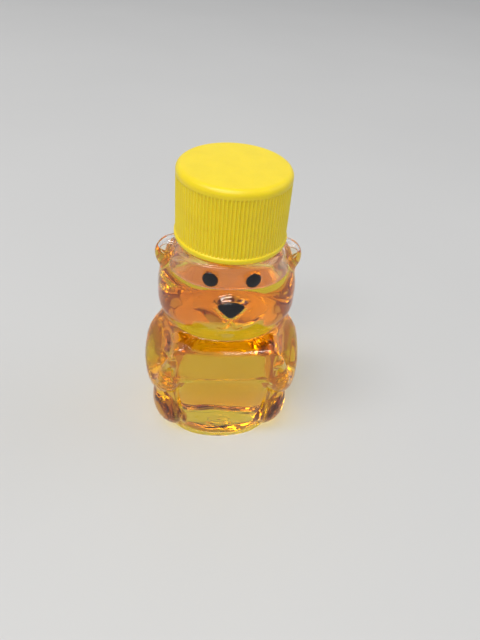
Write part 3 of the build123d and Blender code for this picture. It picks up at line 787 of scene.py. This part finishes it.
def cap_mesh(ribs, rib_depth):
    """The closure: flat top, smooth band, fine ribs, bead, bore and thread."""
    turns = np.linspace(0, 2 * math.pi, ribs * CAP_COLUMNS, endpoint=False)
    rings = [(level(turns, radius), level(turns, CAP_ROOF_Z)) for radius in CAP_ROOF_RADII]
    for bend in np.radians((30, 60, 90)):
        rings.append((level(turns, CAP_BORE_RADIUS - CAP_FILLET + CAP_FILLET * math.sin(bend)),
                      level(turns, CAP_ROOF_Z - CAP_FILLET + CAP_FILLET * math.cos(bend))))
    for z in np.arange(CAP_ROOF_Z - 2 * CAP_FILLET, CAP_LOW_Z + CAP_MOUTH, -CAP_RING_SPACING):
        rings.append((CAP_BORE_RADIUS - cap_thread_relief(turns, level(turns, z)), level(turns, z)))
    rings.append((level(turns, CAP_BORE_RADIUS + CAP_FILLET), level(turns, CAP_LOW_Z)))
    bead = CAP_BEAD_RADIUS - BEAD_FOOT
    rings.append((level(turns, bead - BEAD_FLAT), level(turns, CAP_LOW_Z)))
    for bend in np.radians(np.linspace(0, 90, 7)):
        rings.append((level(turns, bead + BEAD_FOOT * math.sin(bend)),
                      level(turns, CAP_LOW_Z + BEAD_FOOT - BEAD_FOOT * math.cos(bend))))
    bead_top = CAP_LOW_Z + CAP_BEAD
    for bend in np.radians(np.linspace(0, 75, 6)):
        rings.append((level(turns, CAP_BEAD_RADIUS - BEAD_EDGE + BEAD_EDGE * math.cos(bend)),
                      level(turns, bead_top - BEAD_EDGE + BEAD_EDGE * math.sin(bend))))
    valley = rib_relief(turns, ribs)
    ribs_low, ribs_high = bead_top + RIB_GAP, CAP_HIGH_Z - CAP_BAND
    ribs_tall = ribs_high - ribs_low
    rises = np.concatenate((np.linspace(0, RIB_END_SPAN, RIB_END_RINGS),
                            np.linspace(RIB_RINGS_FOOT, ribs_tall - RIB_RINGS_TOP, RIB_RINGS),
                            ribs_tall - np.linspace(RIB_END_SPAN, 0.0, RIB_END_RINGS)))
    for rise in rises:
        radius = CAP_RIB_RADIUS + (CAP_TOP_RADIUS - CAP_RIB_RADIUS) * rise / ribs_tall
        rounding = min(rise + RIB_FOOT, ribs_tall - rise) / RIB_END
        cut = rib_depth * math.sqrt(1 - (1 - min(1, max(0, rounding))) ** 2)
        rings.append((radius - cut * valley, level(turns, ribs_low + rise)))
    for share in (0.35, 0.7, 1.0):
        rings.append((level(turns, CAP_TOP_RADIUS), level(turns, ribs_high + (CAP_BAND - CAP_EDGE) * share)))
    for bend in np.radians(np.linspace(0, 90, 10)[1:]):
        rings.append((level(turns, CAP_TOP_RADIUS - CAP_EDGE + CAP_EDGE * math.cos(bend)),
                      level(turns, CAP_HIGH_Z - CAP_EDGE + CAP_EDGE * math.sin(bend))))
    for share in (0.97, 0.88, 0.7, 0.45, 0.2):
        rings.append((level(turns, (CAP_TOP_RADIUS - CAP_EDGE) * share), level(turns, CAP_HIGH_Z)))
    return closed_form("screw_cap_body", ring_points(turns, rings))


def new_finish(name):
    """A node material that holds only its shader and its output, ready for a finish."""
    material = bpy.data.materials.new(name)
    material.use_nodes = True
    material.node_tree.nodes.clear()
    nodes = material.node_tree.nodes
    output = nodes.new("ShaderNodeOutputMaterial")
    shader = nodes.new("ShaderNodeBsdfPrincipled")
    material.node_tree.links.new(shader.outputs["BSDF"], output.inputs["Surface"])
    return material, shader, output


def grain(material, scale, detail=3.0):
    """Noise in the object's own space, in waves to the metre."""
    nodes, links = material.node_tree.nodes, material.node_tree.links
    place = nodes.new("ShaderNodeTexCoord")
    noise = nodes.new("ShaderNodeTexNoise")
    noise.inputs["Scale"].default_value = scale
    noise.inputs["Detail"].default_value = detail
    links.new(place.outputs["Object"], noise.inputs["Vector"])
    return noise.outputs["Fac"]


def spread(material, value, low, high):
    """A value from a noise, mapped to run from low to high."""
    node = material.node_tree.nodes.new("ShaderNodeMapRange")
    node.inputs["From Min"].default_value = NOISE_LOW
    node.inputs["From Max"].default_value = NOISE_HIGH
    node.inputs["To Min"].default_value = low
    node.inputs["To Max"].default_value = high
    material.node_tree.links.new(value, node.inputs["Value"])
    return node.outputs["Result"]


def uneven_gloss(material, shader, scale, low, high):
    """Roughness that a noise moves from low to high."""
    value = spread(material, grain(material, scale), low, high)
    material.node_tree.links.new(value, shader.inputs["Roughness"])


def uneven_tint(material, shader, tint, darkest, scale):
    """Base colour that a noise moves between a tint and a slightly darker one."""
    nodes, links = material.node_tree.nodes, material.node_tree.links
    shade = nodes.new("ShaderNodeMix")
    shade.data_type = "RGBA"
    shade.inputs[6].default_value = (*[channel * darkest for channel in tint], 1)
    shade.inputs[7].default_value = (*tint, 1)
    links.new(spread(material, grain(material, scale), 0.0, 1.0), shade.inputs["Factor"])
    links.new(shade.outputs[2], shader.inputs["Base Color"])


def relief(material, shader, value, height):
    """A bump from a value, with its height in metres."""
    bump = material.node_tree.nodes.new("ShaderNodeBump")
    bump.inputs["Distance"].default_value = height
    bump.inputs["Strength"].default_value = 1.0
    material.node_tree.links.new(value, bump.inputs["Height"])
    material.node_tree.links.new(bump.outputs["Normal"], shader.inputs["Normal"])


def let_lamps_pass(material, shader, output, tint):
    """Lets the light of a lamp pass through a clear wall, a little tinted."""
    nodes, links = material.node_tree.nodes, material.node_tree.links
    path = nodes.new("ShaderNodeLightPath")
    clear = nodes.new("ShaderNodeBsdfTransparent")
    clear.inputs["Color"].default_value = (*tint, 1)
    mix = nodes.new("ShaderNodeMixShader")
    links.new(path.outputs["Is Shadow Ray"], mix.inputs["Fac"])
    links.new(shader.outputs["BSDF"], mix.inputs[1])
    links.new(clear.outputs["BSDF"], mix.inputs[2])
    links.new(mix.outputs["Shader"], output.inputs["Surface"])


def clear_plastic(name, look, bend, roughness):
    """Clear blown plastic, with the faint orange peel of its mould."""
    material, shader, output = new_finish(name)
    shader.inputs["Base Color"].default_value = (*look.tint, 1)
    shader.inputs["Transmission Weight"].default_value = 1.0
    shader.inputs["IOR"].default_value = bend
    uneven_gloss(material, shader, scale=400, low=0.0, high=roughness)
    relief(material, shader, grain(material, scale=260, detail=2.0), look.orange_peel)
    let_lamps_pass(material, shader, output, tint=(0.97, 0.97, 0.97))
    return material


def honey_finish(look):
    """Clear amber honey: light bends at its open surface, and is coloured on the way through."""
    material, shader, output = new_finish("amber_honey")
    nodes, links = material.node_tree.nodes, material.node_tree.links
    shader.inputs["Base Color"].default_value = (1, 1, 1, 1)
    shader.inputs["Transmission Weight"].default_value = 1.0
    shader.inputs["Roughness"].default_value = 0.0
    shader.inputs["IOR"].default_value = HONEY_BEND
    open_face = nodes.new("ShaderNodeAttribute")
    open_face.attribute_name = "free_surface"
    bend = nodes.new("ShaderNodeMapRange")
    bend.inputs["To Min"].default_value = 1.0
    bend.inputs["To Max"].default_value = HONEY_BEND
    links.new(open_face.outputs["Fac"], bend.inputs["Value"])
    links.new(bend.outputs["Result"], shader.inputs["IOR"])
    body = nodes.new("ShaderNodeVolumeAbsorption")
    body.inputs["Color"].default_value = (*look.tint, 1)
    body.inputs["Density"].default_value = look.density
    links.new(body.outputs["Volume"], output.inputs["Volume"])
    let_lamps_pass(material, shader, output, tint=(1, 1, 1))
    return material


def ink_finish(look):
    """Glossy black ink, laid on a little unevenly."""
    material, shader, _ = new_finish("gloss_ink")
    shader.inputs["Base Color"].default_value = (*look.tint, 1)
    shader.inputs["Specular IOR Level"].default_value = 0.3
    shader.inputs["Coat Weight"].default_value = 0.15
    shader.inputs["Coat Roughness"].default_value = 0.06
    uneven_gloss(material, shader, scale=1500, low=0.14, high=0.30)
    relief(material, shader, grain(material, scale=900), height=0.00002)
    return material


def cap_finish(look):
    """Satin yellow plastic with a soft glow in it and a fine moulded grain."""
    material, shader, _ = new_finish("satin_yellow")
    uneven_tint(material, shader, look.tint, darkest=0.94, scale=240)
    shader.inputs["Subsurface Weight"].default_value = 0.25
    shader.inputs["Subsurface Radius"].default_value = (1.0, 0.7, 0.15)
    shader.inputs["Subsurface Scale"].default_value = 0.0015
    shader.inputs["IOR"].default_value = 1.49
    uneven_gloss(material, shader, scale=2600, low=look.gloss - 0.05, high=look.gloss + 0.07)
    relief(material, shader, grain(material, scale=3800), height=0.000012)
    return material


def foam_finish(look):
    """Off-white foam with fine cells."""
    material, shader, _ = new_finish("liner_foam_finish")
    shader.inputs["Base Color"].default_value = (*look.liner_tint, 1)
    uneven_gloss(material, shader, scale=900, low=0.6, high=0.85)
    relief(material, shader, grain(material, scale=2400), height=0.00005)
    return material


def floor_finish(look):
    """A plain pale table top."""
    material, shader, _ = new_finish("pale_table")
    uneven_tint(material, shader, look.floor, darkest=0.97, scale=6)
    shader.inputs["Roughness"].default_value = 0.6
    return material


class BottleLook(bpy.types.PropertyGroup):
    """How the clear wall looks."""

    tint: bpy.props.FloatVectorProperty(
        name="Tint", description="Colour of the clear plastic", subtype="COLOR", size=3,
        min=0, max=1, default=(0.985, 0.99, 0.985))
    bend: bpy.props.FloatProperty(
        name="Index", description="How strongly the plastic bends light", default=1.57, min=1.0, max=2.0)
    orange_peel: bpy.props.FloatProperty(
        name="Orange peel", description="Height of the fine unevenness of the wall", unit="LENGTH",
        default=0.000006, min=0, max=0.0002, precision=6)


class HoneyLook(bpy.types.PropertyGroup):
    """How the filling looks."""

    tint: bpy.props.FloatVectorProperty(
        name="Tint", description="Colour that the honey lets through", subtype="COLOR", size=3,
        min=0, max=1, default=(0.972, 0.896, 0.006))
    density: bpy.props.FloatProperty(
        name="Strength", description="How quickly the honey colours light, for each metre", default=175.0,
        min=0, max=2000)


class InkLook(bpy.types.PropertyGroup):
    """How the printed eyes and nose look."""

    tint: bpy.props.FloatVectorProperty(
        name="Tint", description="Colour of the ink", subtype="COLOR", size=3,
        min=0, max=1, default=(0.006, 0.006, 0.007))


class CapLook(bpy.types.PropertyGroup):
    """How the closure looks."""

    tint: bpy.props.FloatVectorProperty(
        name="Tint", description="Colour of the closure", subtype="COLOR", size=3,
        min=0, max=1, default=(0.94, 0.72, 0.006))
    liner_tint: bpy.props.FloatVectorProperty(
        name="Liner", description="Colour of the sealing disc", subtype="COLOR", size=3,
        min=0, max=1, default=(0.80, 0.79, 0.74))
    gloss: bpy.props.FloatProperty(
        name="Roughness", description="How satin the closure is", default=0.36, min=0.05, max=1)
    ribs: bpy.props.IntProperty(name="Ribs", description="Number of grip ribs", default=96, min=24, max=160)
    rib_depth: bpy.props.FloatProperty(
        name="Rib depth", description="How deep the valleys between the ribs are", unit="LENGTH",
        default=0.0003, min=0, max=0.0006, precision=5)


class StageLook(bpy.types.PropertyGroup):
    """How the table and the light look."""

    floor: bpy.props.FloatVectorProperty(
        name="Table", description="Colour of the table", subtype="COLOR", size=3,
        min=0, max=1, default=(0.62, 0.625, 0.635))
    panels: bpy.props.FloatProperty(
        name="Lamps", description="Power of each ceiling lamp", unit="POWER", default=14.0, min=0, max=500)
    window: bpy.props.FloatProperty(
        name="Soft light", description="Power of the soft light from the side", unit="POWER", default=3.0,
        min=0, max=500)
    sky: bpy.props.FloatProperty(
        name="Room", description="Strength of the light from the room", default=0.37, min=0, max=5)
    backdrop: bpy.props.FloatVectorProperty(
        name="Backdrop", description="Colour that is seen behind the table", subtype="COLOR", size=3,
        min=0, max=1, default=(0.66, 0.665, 0.675))


def place_piece(name, mesh, finishes):
    """An object for a mesh that is already in the frame's place."""
    piece = bpy.data.objects.new(name, mesh)
    bpy.context.scene.collection.objects.link(piece)
    for finish in finishes:
        mesh.materials.append(finish)
    return piece


class BEAR_OT_bottle(bpy.types.Operator):
    """Make the clear bear: wall, face, hands, panel, haunches and threaded neck"""

    bl_idname = "bear.bottle"
    bl_label = "Bottle"

    def execute(self, context):
        look = context.scene.bear_bottle
        dry = clear_plastic("clear_wall", look, look.bend, 0.03)
        wetted = clear_plastic("clear_wall_wetted", look, look.bend / HONEY_BEND, 0.0)
        mesh = bottle_mesh(shell_radii())
        piece = place_piece("bottle_shell", mesh, (dry, wetted))
        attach(piece, "bottle")
        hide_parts("bottle")
        return {"FINISHED"}


class BEAR_OT_honey(bpy.types.Operator):
    """Fill the bottle with honey"""

    bl_idname = "bear.honey"
    bl_label = "Honey"

    def execute(self, context):
        finish = honey_finish(context.scene.bear_honey)
        piece = place_piece("honey_filling", honey_mesh(shell_radii()), (finish,))
        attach(piece, "bottle")
        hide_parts("honey")
        return {"FINISHED"}


class BEAR_OT_face(bpy.types.Operator):
    """Print the two eyes and the nose"""

    bl_idname = "bear.face"
    bl_label = "Eyes and nose"

    def execute(self, context):
        finish = ink_finish(context.scene.bear_ink)
        prints = (("left_eye_print", "left_eye", eye_frame(1), eye_outline, True),
                  ("right_eye_print", "right_eye", eye_frame(1), eye_outline, False),
                  ("nose_print", "nose", nose_frame(), nose_outline, False))
        for name, node, pad, outline, mirror in prints:
            piece = place_piece(name, ink_mesh(name, pad, outline, mirror), (finish,))
            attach(piece, "bottle")
            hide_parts(node)
        return {"FINISHED"}


class BEAR_OT_cap(bpy.types.Operator):
    """Make the ribbed closure and finish its liner"""

    bl_idname = "bear.cap"
    bl_label = "Cap and liner"

    def execute(self, context):
        look = context.scene.bear_cap
        piece = place_piece("screw_cap", cap_mesh(look.ribs, look.rib_depth / MM), (cap_finish(look),))
        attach(piece, "closure")
        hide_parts("cap")
        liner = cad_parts["cap_liner"]
        foam = foam_finish(look)
        for slot in liner.material_slots:
            slot.material = foam
        return {"FINISHED"}


def lamp_panel(name, place, length, width, power, color):
    """One flat lamp, which looks straight down until it is aimed."""
    light = bpy.data.lights.new(name, "AREA")
    light.shape = "RECTANGLE"
    light.size = length
    light.size_y = width
    light.energy = power
    light.color = color
    lamp = bpy.data.objects.new(name, light)
    lamp.location = place
    bpy.context.scene.collection.objects.link(lamp)
    return lamp


def aim(lamp, target):
    """Turns a lamp towards a point."""
    lamp.rotation_euler = (Vector(target) - lamp.location).to_track_quat("-Z", "Y").to_euler()


def room_light(strength, backdrop):
    """A soft pale room that lights the table, and a plain backdrop seen behind and through the pieces."""
    world = bpy.data.worlds.new("soft_room")
    bpy.context.scene.world = world
    world.use_nodes = True
    nodes, links = world.node_tree.nodes, world.node_tree.links
    background = nodes["Background"]
    background.inputs["Strength"].default_value = strength
    place = nodes.new("ShaderNodeTexCoord")
    split = nodes.new("ShaderNodeSeparateXYZ")
    ramp = nodes.new("ShaderNodeValToRGB")
    low, high = ramp.color_ramp.elements
    low.position, low.color = ROOM_LOW
    high.position, high.color = ROOM_HIGH
    links.new(place.outputs["Generated"], split.inputs["Vector"])
    links.new(split.outputs["Z"], ramp.inputs["Fac"])
    links.new(ramp.outputs["Color"], background.inputs["Color"])
    plain = nodes.new("ShaderNodeBackground")
    plain.inputs["Color"].default_value = (*backdrop, 1)
    path = nodes.new("ShaderNodeLightPath")
    seen = path.outputs["Is Camera Ray"]
    for kind in ("Is Glossy Ray", "Is Transmission Ray"):
        either = nodes.new("ShaderNodeMath")
        either.operation = "MAXIMUM"
        links.new(seen, either.inputs[0])
        links.new(path.outputs[kind], either.inputs[1])
        seen = either.outputs["Value"]
    mix = nodes.new("ShaderNodeMixShader")
    links.new(seen, mix.inputs["Fac"])
    links.new(background.outputs["Background"], mix.inputs[1])
    links.new(plain.outputs["Background"], mix.inputs[2])
    links.new(mix.outputs["Shader"], nodes["World Output"].inputs["Surface"])


def photo_camera():
    """The camera, at the height, distance and tilt of the photograph."""
    camera = bpy.data.cameras.new("camera")
    camera.sensor_fit = "AUTO"
    camera.sensor_width = 36.0
    camera.lens = CAMERA_FOCUS * camera.sensor_width / PHOTO_SIDE
    camera.clip_start = 0.005
    eye = bpy.data.objects.new("camera", camera)
    bpy.context.scene.collection.objects.link(eye)
    turn, heading, back = CAMERA_TURN, CAMERA_HEADING, CAMERA_DISTANCE
    place = Vector((math.sin(turn) * back, -math.cos(turn) * back, CAMERA_HEIGHT)) * MM
    ahead = math.cos(CAMERA_TILT)
    look = Vector((-math.sin(heading) * ahead, math.cos(heading) * ahead, -math.sin(CAMERA_TILT)))
    level_side = Vector((math.cos(heading), math.sin(heading), 0))
    upright = level_side.cross(look)
    side = level_side * math.cos(CAMERA_ROLL) + upright * math.sin(CAMERA_ROLL)
    up = upright * math.cos(CAMERA_ROLL) - level_side * math.sin(CAMERA_ROLL)
    eye.matrix_world = Matrix.Translation(place) @ Matrix((side, up, -look)).transposed().to_4x4()
    bpy.context.scene.camera = eye


class BEAR_OT_stage(bpy.types.Operator):
    """Set the table, the lamps and the camera"""

    bl_idname = "bear.stage"
    bl_label = "Stage"

    def execute(self, context):
        look = context.scene.bear_stage
        mesh = bpy.data.meshes.new("table_top")
        half = TABLE_HALF
        corners = ((-half, -half), (half, -half), (half, half), (-half, half))
        mesh.from_pydata([(x, y, -TABLE_DROP) for x, y in corners], [], [(0, 1, 2, 3)])
        table = place_piece("table_top", mesh, (floor_finish(look),))
        room_light(look.sky, look.backdrop)
        lamp_panel("panel_overhead", *LAMP_OVERHEAD, look.panels, LAMP_WARMTH)
        lamp_panel("panel_in_front", *LAMP_IN_FRONT, look.panels, LAMP_WARMTH)
        soft = lamp_panel("soft_side", *LAMP_AT_SIDE, look.window, (1, 1, 1))
        aim(soft, LAMP_TARGET)
        photo_camera()
        context.scene.view_settings.view_transform = "Standard"
        light = context.scene.cycles
        light.max_bounces = LIGHT_BOUNCES
        light.transmission_bounces = LIGHT_BOUNCES
        light.transparent_max_bounces = LIGHT_BOUNCES
        light.glossy_bounces = LIGHT_BOUNCES // 2
        return {"FINISHED"}


class BEAR_PT_bottle(bpy.types.Panel):
    """The sidebar panel that lists the sizes, the colours and the makers"""

    bl_label = "Bear Bottle"
    bl_idname = "BEAR_PT_bottle"
    bl_space_type = "VIEW_3D"
    bl_region_type = "UI"
    bl_category = "Bear Bottle"

    def draw(self, context):
        layout = self.layout
        for group, looks, makers in PANEL_ROWS:
            box = layout.box()
            for look in looks:
                box.prop(getattr(context.scene, group), look)
            for maker in makers:
                box.operator(maker)


PANEL_ROWS = (
    ("bear_bottle", ("tint", "bend", "orange_peel"), ("bear.bottle",)),
    ("bear_honey", ("tint", "density"), ("bear.honey",)),
    ("bear_ink", ("tint",), ("bear.face",)),
    ("bear_cap", ("tint", "liner_tint", "gloss", "ribs", "rib_depth"), ("bear.cap",)),
    ("bear_stage", ("floor", "panels", "window", "sky", "backdrop"), ("bear.stage",)),
)
LOOKS = (
    ("bear_bottle", BottleLook),
    ("bear_honey", HoneyLook),
    ("bear_ink", InkLook),
    ("bear_cap", CapLook),
    ("bear_stage", StageLook),
)
MAKERS = (BEAR_OT_bottle, BEAR_OT_honey, BEAR_OT_face, BEAR_OT_cap, BEAR_OT_stage)


def register():
    """Adds the looks, the makers and the panel to Blender."""
    for name, look in LOOKS:
        bpy.utils.register_class(look)
        setattr(bpy.types.Scene, name, bpy.props.PointerProperty(type=look))
    for maker in MAKERS:
        bpy.utils.register_class(maker)
    bpy.utils.register_class(BEAR_PT_bottle)


def unregister():
    """Takes them out again."""
    bpy.utils.unregister_class(BEAR_PT_bottle)
    for maker in reversed(MAKERS):
        bpy.utils.unregister_class(maker)
    for name, look in reversed(LOOKS):
        delattr(bpy.types.Scene, name)
        bpy.utils.unregister_class(look)


def main():
    """Makes every piece in order."""
    register()
    bpy.ops.bear.bottle()
    bpy.ops.bear.honey()
    bpy.ops.bear.face()
    bpy.ops.bear.cap()
    bpy.ops.bear.stage()


if __name__ == "__main__":
    main()
